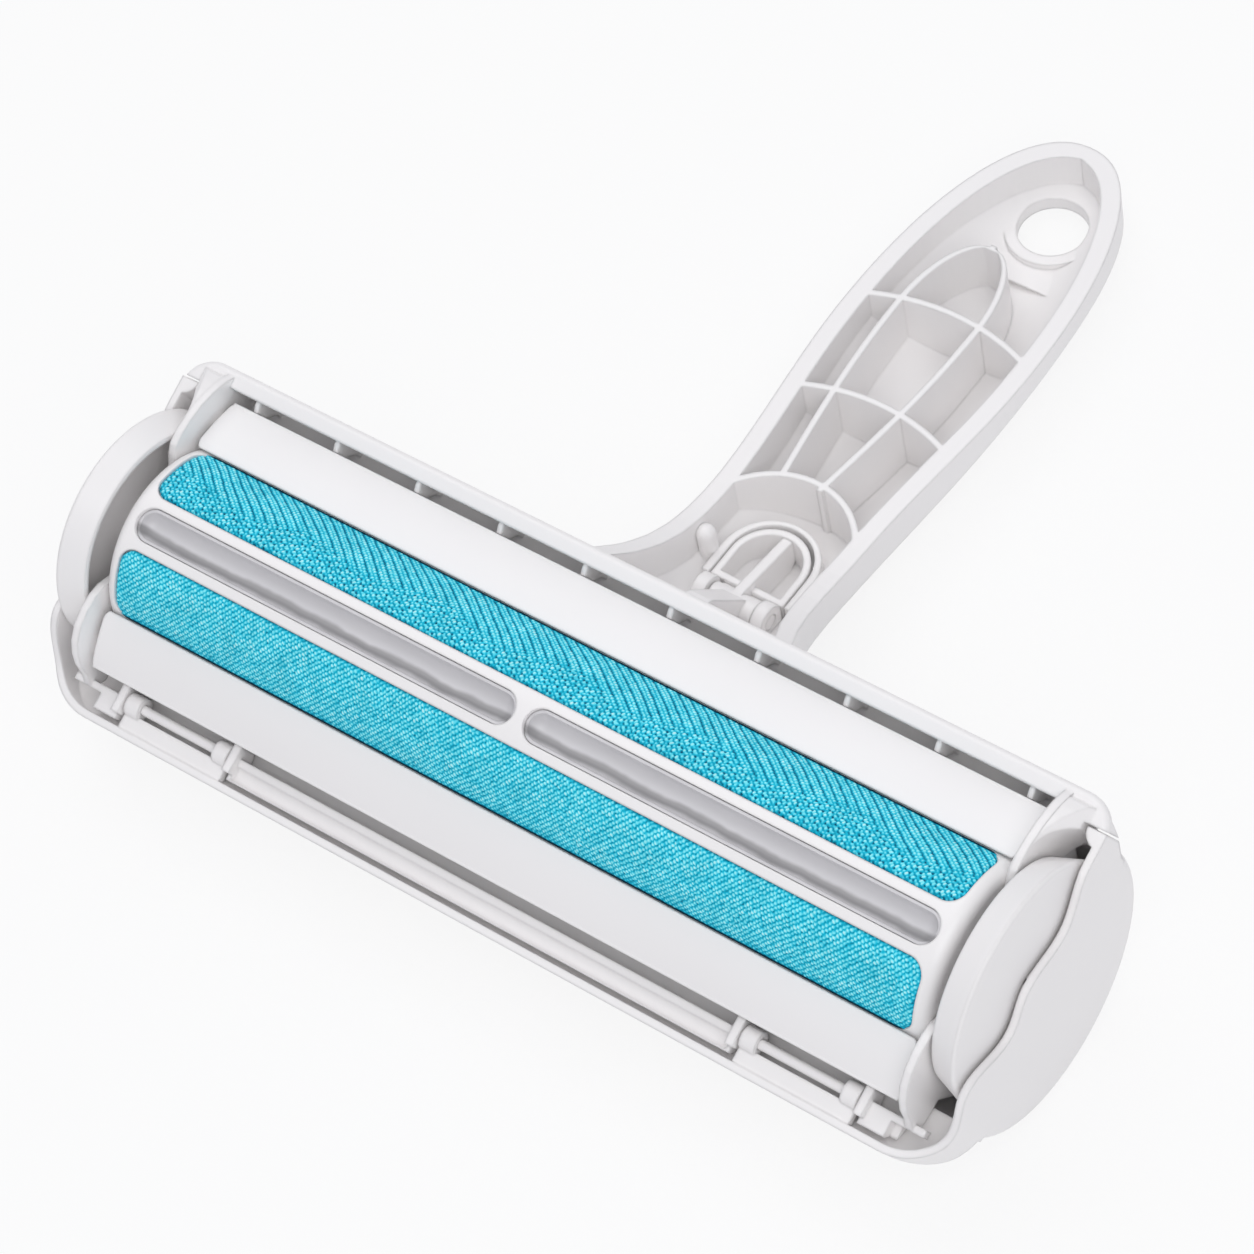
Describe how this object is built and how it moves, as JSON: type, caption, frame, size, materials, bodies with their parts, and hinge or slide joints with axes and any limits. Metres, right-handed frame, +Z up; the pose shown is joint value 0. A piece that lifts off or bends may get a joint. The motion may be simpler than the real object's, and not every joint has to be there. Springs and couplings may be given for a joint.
{
  "type": "pet hair removal brush",
  "caption": "Hand-held pet hair brush with a rocking velour-padded drum between guard panels, a hinged dust cover and a hollow ribbed handle",
  "frame": {"origin": "middle of the bounding box at the surface that the brush lies on, resting on the round back of its cover and the back of its grip", "axes": "+X along the drum to the right, +Y from the head towards the tip of the handle, +Z up, away from the surface it lies on"},
  "size_m": [0.189, 0.1918, 0.0526],
  "materials": {
    "white_plastic": "satin",
    "velour": "matte",
    "grey_plastic": "gloss"
  },
  "bodies": {
    "frame": {"frame": "white_plastic", "guard_rear": "white_plastic", "guard_front": "white_plastic"},
    "cover": {"cover": "white_plastic"},
    "drum": {"drum": "white_plastic", "strip_rear": "velour", "strip_front": "velour", "trough_left": "grey_plastic", "trough_right": "grey_plastic", "wheel_left": "white_plastic", "wheel_right": "white_plastic"},
    "button": {"button": "white_plastic"}
  },
  "joints": [
    {"name": "drum_rock", "type": "hinge", "parent": "frame", "child": "drum", "pos_m": [0, -0.06405, 0.03108], "axis": [1, 0, 0], "range_deg": [-25, 25]},
    {"name": "cover_hinge", "type": "hinge", "parent": "frame", "child": "cover", "pos_m": [0, -0.09007, 0.0202], "axis": [-1, 0, 0], "range_deg": [0, 90]},
    {"name": "button_press", "type": "hinge", "parent": "frame", "child": "button", "pos_m": [0, -0.01809, 0.01193], "axis": [1, 0, 0], "range_deg": [0, 4], "stiffness_Nm_per_rad": 0.4}
  ]
}
